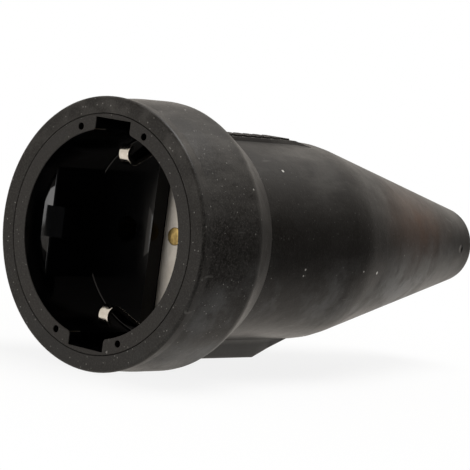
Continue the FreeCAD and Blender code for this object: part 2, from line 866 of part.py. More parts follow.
def build_cord_clamp():
    """Bent saddle of the cord grip, carried on the two posts of the carrier."""
    body = new_body("cord_clamp")
    saddle = new_sketch(body, "saddle_outline", "XZ_Plane", -clamp_front)
    arch_bottom = s.post_top + s.clamp_arch
    arch_top = clamp_top + s.clamp_arch
    half = clamp_half_length
    round_r = s.clamp_thickness / 2
    outline(saddle, [
        (-half, s.post_top),
        (-clamp_foot_x, s.post_top),
        (-clamp_arch_x, arch_bottom),
        (clamp_arch_x, arch_bottom),
        (clamp_foot_x, s.post_top),
        (half, s.post_top),
        (half, clamp_top, round_r),
        (clamp_foot_x, clamp_top),
        (clamp_arch_x, arch_top, round_r),
        (-clamp_arch_x, arch_top, round_r),
        (-clamp_foot_x, clamp_top),
        (-half, clamp_top, round_r),
    ])
    pad_back(body, "saddle", saddle, s.clamp_width)
    holes = new_sketch(body, "clamp_holes_outline", "XY_Plane", clamp_top)
    for side in (1, -1):
        circle(holes, side * post_x, clamp_middle, screw_free_r)
    cut(body, "clamp_holes", holes, Length=s.clamp_thickness)
    return body


def build_terminal_screw(name, x):
    return build_screw(name, s.terminal_screw_length, x, terminal_screw_depth, block_half)


def build_all():
    bodies = [
        build_sleeve(),
        build_front_ring(),
        build_socket_body(),
        build_earth_strip(),
        build_earth_rivet(),
        build_contact_base(),
        build_earth_terminal(),
        build_terminal_screw("terminal_screw_earth", 0),
        build_cord_clamp(),
    ]
    for pole, side in (("live", 1), ("neutral", -1)):
        bodies.append(build_contact(f"contact_{pole}", side))
        bodies.append(build_spring_ring(f"spring_ring_{pole}", side))
        bodies.append(build_terminal_screw(f"terminal_screw_{pole}", side * pin_x))
    base_screw_length = s.carrier_disc + s.base_screw_bite
    for end, side in (("upper", 1), ("lower", -1)):
        seat = side * base_screw_x, disc_back, side * base_screw_z
        bodies.append(build_screw(f"base_screw_{end}", base_screw_length, *seat, towards_tail=True))
    for end, side in (("left", -1), ("right", 1)):
        seat = side * post_x, clamp_middle, clamp_top
        bodies.append(build_screw(f"clamp_screw_{end}", s.clamp_screw_length, *seat))
    return bodies


def check(bodies):
    """Stop if any object failed, or if a sub-part isn't one valid solid."""
    doc.recompute()
    for item in doc.Objects:
        if "Invalid" in item.State or "Error" in item.State:
            raise RuntimeError(f"{item.Name} failed: {item.State}")
    for body in bodies:
        shape = body.Shape
        if shape.isNull() or not shape.isValid() or len(shape.Solids) != 1:
            raise RuntimeError(f"{body.Label} isn't one valid solid")


def write(bodies):
    os.makedirs("parts", exist_ok=True)
    for body in bodies:
        body.Shape.exportStep(f"parts/{body.Label}.step")
        print(f"{body.Label}: {body.Shape.Volume:.1f} mm3")


sub_parts = build_all()
check(sub_parts)
write(sub_parts)
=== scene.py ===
"""Inline socket connector: dressed pieces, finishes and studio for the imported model.

Metres. The front face lies at Y = 0 and looks along -Y, the tail points along +Y, and the foot is at -Z.
"""
import json
import math

import bpy
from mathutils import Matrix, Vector


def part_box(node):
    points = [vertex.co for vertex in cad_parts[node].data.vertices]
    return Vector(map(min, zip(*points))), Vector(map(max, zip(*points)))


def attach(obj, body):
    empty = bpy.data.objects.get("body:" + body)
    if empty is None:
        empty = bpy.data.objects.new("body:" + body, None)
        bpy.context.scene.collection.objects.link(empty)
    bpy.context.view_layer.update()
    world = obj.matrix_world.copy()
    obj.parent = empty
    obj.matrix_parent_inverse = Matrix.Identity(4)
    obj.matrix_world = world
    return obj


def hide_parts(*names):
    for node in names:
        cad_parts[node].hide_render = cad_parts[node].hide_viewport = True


bl_info = {
    "name": "Inline Socket Connector",
    "version": (1, 0, 0),
    "blender": (4, 5, 0),
    "location": "View3D > Sidebar > Socket",
    "description": "Builds a rubber-sleeved inline socket with its finishes and a studio",
    "category": "Add Mesh",
}

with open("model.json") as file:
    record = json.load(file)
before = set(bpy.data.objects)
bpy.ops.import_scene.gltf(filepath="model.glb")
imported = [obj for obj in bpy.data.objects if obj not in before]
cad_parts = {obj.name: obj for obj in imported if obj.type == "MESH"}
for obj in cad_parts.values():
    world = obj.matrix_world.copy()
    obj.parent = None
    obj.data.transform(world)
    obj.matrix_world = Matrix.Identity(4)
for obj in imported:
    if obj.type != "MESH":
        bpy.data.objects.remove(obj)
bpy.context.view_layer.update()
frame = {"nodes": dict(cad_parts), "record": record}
MM = 0.001
TINY = 1e-6  # points nearer than this are one
PAST = 1 * MM  # how far a cut goes past a face
AROUND = 144  # faces round the ring and the insert


def reach(node, axis):
    """How far a solid of the frame reaches along an axis, in millimetres."""
    return round(getattr(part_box(node)[1], axis) / MM, 2)


def amount(name, description, default, unit, **rest):
    """A number with a unit."""
    return bpy.props.FloatProperty(name=name, description=description, default=default, unit=unit, **rest)


def size(name, description, default):
    """A size in metres, given in millimetres."""
    return amount(name, description, default * MM, "LENGTH", subtype="DISTANCE", min=0)


def angle(name, description, default):
    """An angle in radians, given in degrees."""
    return amount(name, description, math.radians(default), "ROTATION", subtype="ANGLE")


def colour(name, description, default):
    return bpy.props.FloatVectorProperty(
        name=name, description=description, default=default, size=3, min=0, max=1, subtype="COLOR"
    )


class SleeveSizes(bpy.types.PropertyGroup):
    """Sizes of the rubber sleeve."""

    mouth_radius: size("Mouth radius", "Inner radius of the front rim", 22.7)
    mouth_round: size("Mouth round", "Round at the rim's inner edge", 0.18)
    rim_radius: size("Rim radius", "Outer radius of the front rim", reach("sleeve", "z"))
    groove_radius: size("Groove radius", "Radius of the beads' grooves", 23.3)
    groove_room: size("Groove room", "Room beside a bead in its groove", 0.1)
    edge_round: size("Edge round", "Round at the rim's outer edge", 0.6)
    waist_depth: size("Waist depth", "Depth of the waist behind the rim", 3.0)
    waist_drop: size("Waist drop", "How far the waist lies inside the rim", 0.45)
    waist_round: size("Waist round", "Radius of the bend at the waist", 3.0)
    collar_start: size("Collar start", "Depth where the collar is widest", 8.5)
    collar_radius: size("Collar radius", "Outer radius of the collar", 25.85)
    collar_back_radius: size("Collar back radius", "Radius of the collar's back edge", 21.95)
    shoulder_depth: size("Shoulder depth", "Depth where the collar slopes off", 16.6)
    collar_depth: size("Collar depth", "Depth of the back of the collar", 24.4)
    body_radius: size("Body radius", "Outer radius of the straight body", 20.1)
    soft_round: size("Soft round", "Bends at the shoulder and in the cavity", 4.0)
    long_round: size("Long round", "Long bends along the sleeve", 27.8)
    cone_depth: size("Cone depth", "Depth where the cone starts", 57.3)
    tail_depth: size("Tail depth", "Depth of the end of the tail", reach("sleeve", "y"))
    tail_radius: size("Tail radius", "Outer radius of the tail", 7.6)
    tail_round: size("Tail round", "Round at the tail's end", 2.9)
    outlet_radius: size("Outlet radius", "Radius of the cable outlet", 4.3)
    outlet_length: size("Outlet length", "Straight part of the cable outlet", 13.0)
    cavity_radius: size("Cavity radius", "Inner radius of the straight body", 17.2)
    cavity_end: size("Cavity end", "Depth where the cavity narrows", 62.0)
    seat_radius: size("Seat radius", "Radius of the insert's seat", 20.2)
    foot_width: size("Foot width", "Width of the foot", 8.0)
    foot_level: size("Foot level", "Distance below the middle line", 23.45)
    foot_end: size("Foot end", "Depth where the foot's sole ends", 45.0)
    foot_bend: size("Foot bend", "Bend at the end of the sole", 1.5)
    foot_toe: size("Foot toe", "Depth where the foot meets the body", 53.5)
    plate_width: size("Plate width", "Width of the top plate", 8.0)
    plate_level: size("Plate level", "Height above the middle line", 20.5)
    plate_end: size("Plate end", "Depth where the flat of the plate ends", 49.6)
    plate_toe: size("Plate toe", "Depth where the plate meets the body", 53.5)
    bar_start: size("Bar start", "Depth of the first raised bar", 26.4)
    bar_pitch: size("Bar pitch", "Distance from bar to bar", 2.95)
    bar_width: size("Bar width", "Width of a raised bar", 1.5)
    bar_height: size("Bar height", "Height of a raised bar", 0.32)
    bar_round: size("Bar round", "Round along a raised bar", 0.12)
    bar_count: bpy.props.IntProperty(
        name="Bar count", description="Number of raised bars", default=8, min=1
    )


class InsertSizes(bpy.types.PropertyGroup):
    """Sizes of the front ring and of the insert behind it."""

    recess_radius: size("Recess radius", "Radius of the opening in the ring", 19.66)
    wall_radius: size("Wall radius", "Radius of the recess behind the ring", 19.96)
    ring_radius: size("Ring radius", "Outer radius of the ring", 22.6)
    boss_radius: size("Boss radius", "Radius of the insert's back part", 20.1)
    ring_depth: size("Ring thickness", "Thickness of the ring", reach("front_ring", "y"))
    flange_depth: size("Flange depth", "Depth of the back of the flange", 18.6)
    floor_depth: size("Floor depth", "Depth of the recess floor", 17.8)
    back_depth: size("Back depth", "Depth of the back of the insert", reach("socket_body", "y"))
    strip_depth: size("Channel depth", "Depth of the strip's channel", reach("earth_strip", "y"))
    notch_width: size("Notch width", "Width of the clip notches", 8.8)
    notch_reach: size("Notch reach", "Distance of its ends from the middle", 21.65)
    hole_radius: size("Small hole radius", "Radius of a small hole", 0.68)
    hole_circle: size("Small hole circle", "Radius of their circle", 20.96)
    hole_angle: angle("Small hole angle", "Angle from the clip line", 22.6)
    flat_x: size("Flat distance", "Distance from the middle", 17.0)
    flat_start: size("Flat start", "Depth where the side flats start", 3.8)
    rib_height: size("Rib height", "Height of a rib on its flat", 1.5)
    rib_width: size("Rib width", "Width of a rib", 6.0)
    rib_lead: size("Rib lead", "Depth of the slope at a rib's front", 2.4)
    pin_x: size("Contact hole distance", "Distance from the middle", 9.5)
    pin_radius: size("Contact hole radius", "Radius of a contact hole", 2.55)
    channel_width: size("Channel width", "Width of the strip's channel", 6.1)
    channel_room: size("Channel room", "Room to the right of the strip", 1.25)
    channel_reach: size("Channel reach", "Distance of its ends from the middle", 19.1)
    bead_radius: size("Bead radius", "Radius of the two holding beads", reach("front_ring", "z"))
    bead_width: size("Bead width", "Width of a bead", 1.6)
    ring_bead: size("Ring bead", "Depth of the ring's bead", 0.8)
    flange_bead: size("Flange bead", "Depth of the insert's bead", 10.1)
    ring_round: size("Ring round", "Round at the ring's outer edge", 0.14)
    ring_edge: size("Ring edge softness", "Softened edges of the ring", 0.10)
    floor_round: size("Floor round", "Round between recess wall and floor", 0.4)
    flat_root: size("Flat root", "Reach of a flat into the wall", 0.6)
    rivet_hole_radius: size("Rivet hole radius", "Radius of the rivet's hole", 1.45)
    mouth_round: size("Notch mouth", "Rounds at the mouths of the notches", 0.6)
    ledge_slope: size("Ledge slope", "How far its front edge falls back", 0.9)
    ledge_round: size("Ledge round", "Round at the front edge of a flat", 0.35)
    edge: size("Edge softness", "Width of the softened edges", 0.16)


class StripSizes(bpy.types.PropertyGroup):
    """Sizes of the earth strip, its clips and the rivet. A reach is a distance from the middle line."""

    depth: size("Strip depth", "Depth of the middle of the strip's thickness", 21.8)
    thickness: size("Strip thickness", "Thickness of the strip", 0.8)
    width: size("Strip width", "Width of the strip in its channel", 5.9)
    clip_width: size("Clip width", "Width of the clips' arms", 4.0)
    crest_width: size("Crest width", "Width of a clip at its crest", 2.6)
    tip_width: size("Tip width", "Width of the taper at the front face", 1.6)
    root_reach: size("Root reach", "Reach of a clip's root", 18.9)
    knee_depth: size("Knee depth", "Depth of a clip's knee", 12.3)
    knee_reach: size("Knee reach", "Reach of a clip's knee", 17.2)
    crest_depth: size("Crest depth", "Depth of a clip's crest", 5.7)
    crest_reach: size("Crest reach", "Reach of a clip's crest", 13.45)
    lip_depth: size("Lip depth", "Depth of the lip's turn", 3.75)
    lip_reach: size("Lip reach", "Reach of the lip's turn", 15.35)
    end_depth: size("End depth", "Depth of a clip's end", 5.1)
    end_reach: size("End reach", "Reach of a clip's end", 17.0)
    bend: size("Bend radius", "Radius of the bends", 1.2)
    lip_round: size("Lip radius", "Radius of a clip's rolled lip", 1.5)
    knee_round: size("Knee radius", "Gentle bend at the knee", 6.0)
    edge: size("Edge softness", "Width of the softened edges", 0.14)
    rivet_radius: size("Rivet radius", "Radius of the rivet's head", 1.75)
    rivet_front: size("Rivet depth", "Depth of the rivet's front", 21.15)
    rivet_crown: size("Rivet crown", "Raised middle of the head", 0.7)
    shank_radius: size("Shank radius", "Radius of the rivet's shank", 1.4)
    closing_radius: size("Closing radius", "Radius of its closed end", 2.3)
    closing_height: size("Closing height", "Height of its closed end", 0.8)
    rivet_back: size("Rivet back", "Depth of the end of the rivet", reach("earth_rivet", "y"))


class SocketColours(bpy.types.PropertyGroup):
    """Colours of the finishes."""

    rubber: colour("Rubber", "Dark rubber of the sleeve", (0.0065, 0.0056, 0.0048))
    rubber_worn: colour("Worn rubber", "Rubbed and dusty rubber", (0.032, 0.0300, 0.028))
    # dusty is also the painted sheen on the sleeve's upper side, standing in for the highlight along the
    # top
    dusty: colour("Dusty rubber", "Film of pale dust on the upper side", (0.105, 0.100, 0.092))
    # also the painted reflection of the floor on the underside of the sleeve
    scuffs_and_floor_reflection: colour("Scuffed rubber", "Bluish grey of rubbed rubber", (0.135, 0.140, 0.142))
    rubber_brown: colour("Stained rubber", "Brown tint of a stained patch", (0.055, 0.027, 0.015))
    ring: colour("Ring plastic", "Matt plastic of the front ring", (0.0115, 0.0104, 0.0094))
    insert: colour("Insert plastic", "Glossy plastic of the insert", (0.0010, 0.0011, 0.0014))
    carrier: colour("Carrier plastic", "Plastic of the hidden carrier", (0.045, 0.045, 0.046))
    dust: colour("Dust", "Fine white dust", (0.62, 0.61, 0.58))
    nickel: colour("Nickel", "Nickel plate of the strip", (0.66, 0.63, 0.58))
    brass: colour("Brass", "Brass of the rivet and contacts", (0.58, 0.42, 0.16))
    steel: colour("Steel", "Zinc-plated steel of the screws", (0.52, 0.52, 0.54))


class StudioSizes(bpy.types.PropertyGroup):
    """Sizes of the studio."""

    floor_drop: size("Floor drop", "Distance below the middle line", 26.0)
    floor_size: size("Floor size", "Side of the floor", 4000.0)
    camera_x: size("Camera X", "Place along X", 317.97)
    camera_y: size("Camera distance", "Distance in front of the face", 340.25)
    camera_z: size("Camera Z", "Height above the middle line", 41.78)
    camera_pitch: angle("Camera pitch", "Turn about X", 85.211)
    camera_roll: angle("Camera roll", "Turn about Y", -7.409)
    camera_turn: angle("Camera turn", "Turn about Z", 40.578)
    lens: amount("Lens", "Focal length", 191.5, "CAMERA", min=1)
    lamp_power: amount("Lamp power", "Power of the lamp above", 6.0, "POWER", min=0)
    card_power: amount("Card power", "Power of the card in front", 0.075, "POWER", min=0)


# modelling helpers

def close_up():
    """Leave edit mode."""
    bpy.ops.object.mode_set(mode="OBJECT")


def deselect():
    if bpy.context.object and bpy.context.object.mode != "OBJECT":
        close_up()
    bpy.ops.object.select_all(action="DESELECT")


def new_piece(name):
    """Name the piece that an operator has just added, and move its place into its mesh."""
    piece = bpy.context.object
    piece.name = name
    piece.data.name = name
    bpy.ops.object.transform_apply(location=True, rotation=True, scale=True)
    return piece


def activate(piece):
    deselect()
    piece.select_set(True)
    bpy.context.view_layer.objects.active = piece


def open_up(piece, action="SELECT", kind="VERT"):
    """Go into edit mode, with all of a piece selected or none of it."""
    activate(piece)
    bpy.ops.object.mode_set(mode="EDIT")
    bpy.ops.mesh.select_mode(type=kind)
    bpy.ops.mesh.select_all(action=action)


def choose(piece, kind, numbers):
    """Select the points, edges or faces with these numbers, and open the piece."""
    open_up(piece, "DESELECT", kind)
    close_up()
    mesh = piece.data
    parts = {"VERT": mesh.vertices, "EDGE": mesh.edges, "FACE": mesh.polygons}[kind]
    for number in numbers:
        parts[number].select = True
    bpy.ops.object.mode_set(mode="EDIT")


def pick(piece, kind, wanted):
    """Select what passes a test, and open the piece.

    The test gets a point's place, the places of an edge's ends, or a face's middle and direction.
    """
    activate(piece)
    mesh = piece.data
    if kind == "VERT":
        found = [point.index for point in mesh.vertices if wanted(point.co)]
    elif kind == "EDGE":
        found = [
            edge.index for edge in mesh.edges if wanted(*(mesh.vertices[end].co for end in edge.vertices))
        ]
    else:
        found = [face.index for face in mesh.polygons if wanted(face.center, face.normal)]
    if not found:
        raise RuntimeError(f"nothing to pick on {piece.name}")
    choose(piece, kind, found)


def rounded(corners, step=math.radians(15)):
    """Turn (a, b) or (a, b, round) corners of a closed outline into its points."""
    points = []
    for index, corner in enumerate(corners):
        here = Vector(corner[:2])
        if len(corner) == 2:
            points.append(here)
            continue
        radius = corner[2]
        before = (Vector(corners[index - 1][:2]) - here).normalized()
        after = (Vector(corners[(index + 1) % len(corners)][:2]) - here).normalized()
        half = before.angle(after) / 2
        centre = here + (before + after).normalized() * (radius / math.sin(half))
        first, last = (
            (here + way * (radius / math.tan(half)) - centre).normalized() for way in (before, after)
        )
        count = max(2, math.ceil((math.pi - 2 * half) / step))
        points += [centre + first.slerp(last, number / count) * radius for number in range(count + 1)]
    return points


def bead(first, last, root, crest):
    """Outline of a bead, or of the groove for one, from one depth to another."""
    lean = (crest - root) * (1 if last > first else -1) / 2
    return [(first, root), (first + lean, crest), (last - lean, crest), (last, root)]


def draw(name, points, closed=True):
    """Draw a line through points by extruding one point along it."""
    deselect()
    bpy.ops.mesh.primitive_plane_add(size=MM, location=points[0])
    open_up(bpy.context.object)
    bpy.ops.mesh.merge(type="CENTER")
    for before, after in zip(points, points[1:]):
        bpy.ops.mesh.extrude_vertices_move(TRANSFORM_OT_translate={"value": after - before})
    close_up()
    piece = new_piece(name)
    if closed:
        ends = [piece.data.vertices[end].co.copy() for end in (0, len(piece.data.vertices) - 1)]
        pick(piece, "VERT", lambda co: min((co - end).length for end in ends) < TINY)
        bpy.ops.mesh.edge_face_add()
    return piece


def merge_points(piece, distance=TINY):
    """Close seams and poles, then turn all faces outwards."""
    open_up(piece)
    bpy.ops.mesh.remove_doubles(threshold=distance)
    bpy.ops.mesh.dissolve_degenerate(threshold=distance)
    bpy.ops.mesh.select_all(action="SELECT")
    bpy.ops.mesh.normals_make_consistent(inside=False)
    close_up()


def turn(name, outline, steps, closed=True):
    """Spin a (depth, radius) outline about the Y axis, starting below."""
    piece = draw(name, [Vector((0, depth, -radius)) for depth, radius in outline], closed)
    open_up(piece)
    bpy.ops.mesh.spin(steps=steps, angle=math.tau, center=(0, 0, 0), axis=(0, 1, 0))
    merge_points(piece)
    return piece


def block(name, low, high):
    """A block between two corners, to add or to cut with."""
    deselect()
    low, high = Vector(low), Vector(high)
    bpy.ops.mesh.primitive_cube_add(size=1, location=(low + high) / 2, scale=high - low)
    return new_piece(name)


def rod(name, x, z, radius, front, back, points=48):
    """A round rod along Y, to add or to cut with."""
    deselect()
    bpy.ops.mesh.primitive_cylinder_add(
        vertices=points, radius=radius, depth=back - front,
        location=(x, (front + back) / 2, z), rotation=(math.pi / 2, 0, 0),
    )
    return new_piece(name)


def to_side(piece, side):
    """Mirror a tool to the left where side is -1, and leave it where side is 1."""
    open_up(piece)
    bpy.ops.transform.resize(value=(side, 1, 1), center_override=(0, 0, 0))
    merge_points(piece)


def modify(piece, kind, **settings):
    """Give a piece a modifier, and apply it."""
    activate(piece)
    modifier = piece.modifiers.new("shape", kind)
    for name, value in settings.items():
        setattr(modifier, name, value)
    bpy.ops.object.modifier_apply(modifier=modifier.name)


def combine(piece, tool, operation="DIFFERENCE"):
    """Cut a tool out of a piece, or join it to the piece, and take the tool away."""
    modify(piece, "BOOLEAN", operation=operation, solver="EXACT", object=tool)
    bpy.data.objects.remove(tool)


def soften(piece, width, segments, sharp):
    """Bevel the sharp edges of a piece."""
    modify(
        piece, "BEVEL", limit_method="ANGLE", angle_limit=math.radians(sharp), width=width,
        segments=segments, harden_normals=False,
    )


def smooth(piece, sharp=40):
    """Shade a piece smooth, with its flat faces kept flat."""
    activate(piece)
    bpy.ops.object.shade_smooth_by_angle(angle=math.radians(sharp))
    modify(piece, "WEIGHTED_NORMAL", keep_sharp=True)


def fit(piece, slot, *nodes):
    """Give a finished piece its material and its place in the model."""
    piece.data.materials.clear()
    piece.data.materials.append(finish_for(slot))
    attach(piece, "root")
    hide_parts(*nodes)


# finishes, with the places of the marks that the sleeve carries

RUBBED_PLACE = (9 * MM, 86 * MM, -8 * MM)
STAIN_PLACE = (11 * MM, 82 * MM, 6 * MM)
NICK_PLACE = (9.2 * MM, 104.3 * MM, 0.3 * MM)
CRUMB_PLACES = ((13.2 * MM, 35.3 * MM, 15.1 * MM), (18.4 * MM, 63.0 * MM, -3.8 * MM))


def formula(operation, swapped=False):
    """An operator of the class below, which adds one Math node."""
    def operator(self, other):
        terms = (other, self) if swapped else (self, other)
        return self.maths(operation, *terms)
    return operator


class Signal:
    """An output socket that can be used in a formula."""

    def __init__(self, finish, socket):
        self.finish = finish
        self.socket = socket

    def maths(self, operation, *terms):
        return self.finish.node("ShaderNodeMath", {"operation": operation}, dict(enumerate(terms)))

    __add__ = formula("ADD")
    __radd__ = formula("ADD", swapped=True)
    __sub__ = formula("SUBTRACT")
    __rsub__ = formula("SUBTRACT", swapped=True)
    __mul__ = formula("MULTIPLY")
    __rmul__ = formula("MULTIPLY", swapped=True)
    __gt__ = formula("GREATER_THAN")
    __lt__ = formula("LESS_THAN")


class Finish:
    """A material, or the world, made node by node."""

    def __init__(self, owner):
        owner.use_nodes = True
        self.owner = owner
        self.tree = owner.node_tree
        self.tree.nodes.clear()

    def node(self, kind, settings=None, sockets=None, output=0):
        """Add a node, make its settings, then set or link its sockets."""
        made = self.tree.nodes.new(kind)
        for name, value in (settings or {}).items():
            if name == "stops":
                for element, (place, shade) in zip(made.color_ramp.elements, value):
                    element.position = place
                    element.color = (shade, shade, shade, 1)
            else:
                setattr(made, name, value)
        for name, value in (sockets or {}).items():
            socket = made.inputs[name]
            if isinstance(value, Signal):
                self.tree.links.new(value.socket, socket)
            elif hasattr(value, "__len__") and len(value) == 3 and socket.type == "RGBA":
                socket.default_value = (*value, 1)
            else:
                socket.default_value = value
        return Signal(self, made.outputs[output]) if made.outputs else None

    def place(self, scale=(1, 1, 1), turned=(0, 0, 0)):
        """The object's own coordinates, turned and scaled."""
        own = self.node("ShaderNodeTexCoord", output="Object")
        if scale == (1, 1, 1) and turned == (0, 0, 0):
            return own
        return self.node("ShaderNodeMapping", {}, {"Vector": own, "Rotation": turned, "Scale": scale})

    def noise(self, scale, detail, roughness, where=None):
        return self.node("ShaderNodeTexNoise", {}, {
            "Vector": where or self.place(), "Scale": scale, "Detail": detail, "Roughness": roughness,
        })

    def curve(self, value, low, high):
        """A ramp that goes from nought at low to one at high."""
        stops = ((low, 0.0), (high, 1.0))
        return self.node("ShaderNodeValToRGB", {"stops": stops}, {"Fac": value})

    def mix(self, factor, first, second):
        """Blend two colours."""
        return self.node("ShaderNodeMix", {"data_type": "RGBA"}, {0: factor, 6: first, 7: second}, output=2)

    def along(self, axis):
        """One of the object's own coordinates."""
        return self.node("ShaderNodeSeparateXYZ", {}, {"Vector": self.place()}, output=axis)

    def fade(self, value, first, last, low=0.0, high=1.0, shape="LINEAR"):
        """Go from low to high while a value goes from first to last."""
        return self.node("ShaderNodeMapRange", {"interpolation_type": shape}, {
            "Value": value, "From Min": first, "From Max": last, "To Min": low, "To Max": high,
        })

    def vector(self, operation, *terms, output=0):
        kind = {"operation": operation}
        return self.node("ShaderNodeVectorMath", kind, dict(enumerate(terms)), output)

    def spot(self, centre, radius, stretch=(1, 1, 1)):
        """One inside a soft spot round a point, fading to nought at its radius."""
        radii = [radius * share for share in stretch]
        scaled = self.vector("DIVIDE", self.vector("SUBTRACT", self.place(), centre), radii)
        distance = self.vector("LENGTH", scaled, output="Value")
        return self.fade(distance, 1.0, 0.0, shape="SMOOTHSTEP")

    def specks(self, cell, size, share):
        """Small round specks, one in a share of the cells."""
        cells = {"Vector": self.place(), "Scale": 1 / cell}
        distance = self.node("ShaderNodeTexVoronoi", {}, cells, output="Distance")
        shade = self.node("ShaderNodeTexVoronoi", {}, cells, output="Color")
        chance = self.node("ShaderNodeSeparateColor", {}, {"Color": shade}, output="Red")
        growth = self.node("ShaderNodeSeparateColor", {}, {"Color": shade}, output="Green")
        return (distance < growth * (size / cell)) * (chance < share)

    def bump(self, height, distance, strength, under=None):
        sockets = {"Height": height, "Distance": distance, "Strength": strength}
        if under is not None:
            sockets["Normal"] = under
        return self.node("ShaderNodeBump", {}, sockets)

    def grit(self):
        """Mottling a little coarser than the grain."""
        return self.curve(self.noise(1500, 4, 0.75), 0.38, 0.66)

    def powder(self):
        """Pale powder in the finest grain."""
        return self.curve(self.noise(3000, 3, 0.8), 0.52, 0.68)

    def mirror_ray(self):
        """One for what is seen in a reflection or through glass."""
        glossy = self.node("ShaderNodeLightPath", output="Is Glossy Ray")
        through = self.node("ShaderNodeLightPath", output="Is Transmission Ray")
        return glossy.maths("MAXIMUM", glossy, through)

    def glow(self, shade, strength=1.0):
        return self.node("ShaderNodeEmission", {}, {"Color": shade, "Strength": strength})

    def blend(self, factor, first, second):
        """Blend two shaders."""
        return self.node("ShaderNodeMixShader", {}, {0: factor, 1: first, 2: second})

    def surface(self, **sockets):
        """The final shader, its sockets named in words joined by underscores."""
        named = {}
        for name, value in sockets.items():
            named[name.replace("_", " ").title().replace("Ior", "IOR")] = value
        shader = self.node("ShaderNodeBsdfPrincipled", {}, named)
        self.node("ShaderNodeOutputMaterial", {}, {"Surface": shader})
        return self.owner


def new_finish(name):
    return Finish(bpy.data.materials.new(name))


def rubber_finish(colours):
    """Satin black rubber: rubbed, smudged and dusty, with a brown stain and a nick near the tail. Painted
    sheen on the upper side, a painted floor reflection on the lower side and painted shade in the nick.
    """
    f = new_finish("sleeve_rubber")
    depth = f.along("Y")
    height = f.along("Z")
    # upper carries the painted sheen on the sleeve's upper side
    upper = f.fade(height, 4 * MM, 24 * MM)
    # lower carries the painted floor reflection on the lower half, together with the scuffs
    lower = f.fade(height, 0.0, -13 * MM)
    # sole marks the foot's lower faces for an even painted reflection of the floor
    sole = f.fade(height, -16 * MM, -22 * MM, 0.0, 0.50)
    tail = f.fade(depth, 55 * MM, 95 * MM)
    front = f.fade(depth, 0.0, 30 * MM, 1.0, 0.25)
    behind = f.fade(depth, 1 * MM, 8 * MM, 0.15, 1.0)
    rubbed = f.spot(RUBBED_PLACE, 27 * MM, (1, 1.15, 0.6))
    stain = f.spot(STAIN_PLACE, 17 * MM, (1, 1.3, 0.7))
    nick = f.spot(NICK_PLACE, 0.9 * MM, (1.0, 1.2, 1.1))

    broad = f.curve(f.noise(42, 5, 0.62), 0.45, 0.58)
    patches = f.curve(f.noise(75, 5, 0.60), 0.40, 0.62)
    along_sleeve = f.place(scale=(150, 48, 150))
    smear_and_sheen = f.curve(f.noise(1, 5, 0.62, along_sleeve), 0.46, 0.68)
    aslant = f.place(scale=(150, 210, 170), turned=(0.5, 0.3, 0.7))
    streaks = f.curve(f.noise(1, 4, 0.60, aslant), 0.45, 0.62)
    drawn_out = f.place(scale=(900, 90, 500), turned=(0.3, 0.2, 0.5))
    scratches = f.curve(f.noise(1, 2, 0.5, drawn_out), 0.70, 0.78)
    grit = f.grit() * front
    powder = f.powder() * front
    fine_dust = f.specks(0.7 * MM, 0.15 * MM, 0.45) * front
    coarse_dust = f.specks(3.2 * MM, 0.26 * MM, 0.20)

    # painted reflection: the lower half turns a lighter bluish grey, partly scuffing and partly a painted
    # reflection of the floor; the foot's lower faces get an even painted floor reflection
    scuffs_and_floor_reflection = broad * (1 - streaks * 0.9) * (lower * 0.55 + tail * 0.20) * behind + sole * behind
    scuffs_and_floor_reflection = scuffs_and_floor_reflection + (1 - streaks * 0.8) * (0.3 + patches * 0.7) * rubbed * 0.85
    shade = f.mix(smear_and_sheen * 0.15 + grit * 0.60, colours.rubber, colours.rubber_worn)
    # painted sheen: pale smears on the upper side, partly dust and partly a painted highlight along the top
    shade = f.mix(upper * smear_and_sheen * 0.50, shade, colours.dusty)
    shade = f.mix(scuffs_and_floor_reflection, shade, colours.scuffs_and_floor_reflection)
    shade = f.mix(scratches * 0.08, shade, colours.dust)
    shade = f.mix(stain * (0.60 + streaks * 0.30), shade, colours.rubber_brown)
    shade = f.mix(powder * 0.35, shade, colours.dusty)
    shade = f.mix(fine_dust * 0.24, shade, colours.dust)
    shade = f.mix(coarse_dust * 0.45, shade, colours.dust)
    first, second = (f.spot(place, 0.5 * MM) > 0.3 for place in CRUMB_PLACES)
    shade = f.mix((first + second) * 0.8, shade, colours.dust)
    # painted shade: the nick is darkened to near black, as the shade inside the dent
    shade = f.mix(nick * 0.9, shade, (0.002, 0.002, 0.002))

    grain = f.bump(f.noise(2400, 3, 0.6), 0.06 * MM, 0.5)
    waves = f.bump(f.noise(120, 3, 0.5), 0.5 * MM, 0.30, grain)
    dent = f.bump(1 - nick, 0.5 * MM, 1.0, waves)
    return f.surface(
        base_color=shade, roughness=0.33 + broad * 0.12 + grit * 0.16 + patches * 0.08, normal=dent,
        specular_ior_level=0.22,
    )


def ring_finish(colours):
    """Moulded plastic: matt, grained and dusty on its front face, glossy round its openings."""
    f = new_finish("ring_plastic_matt")
    matt = f.along("Y") < 0.22 * MM
    patches = f.noise(140, 4, 0.6)
    dust = f.specks(0.7 * MM, 0.15 * MM, 0.40) * 0.5 + f.specks(2.6 * MM, 0.24 * MM, 0.25)
    worn = f.curve(patches, 0.35, 0.75) * 0.15 + f.grit() * 0.5
    shade = f.mix(worn, colours.ring, colours.rubber_worn)
    shade = f.mix(f.powder() * 0.30, shade, colours.dusty)
    shade = f.mix(dust * 0.35, shade, colours.dust)
    shade = f.mix(matt, colours.insert, shade)
    grain = f.bump(f.noise(3200, 2, 0.5) * matt, 0.04 * MM, 0.4)
    return f.surface(
        base_color=shade, roughness=0.10 + matt * 0.50 + patches * 0.08, normal=grain,
        specular_ior_level=0.35,
    )


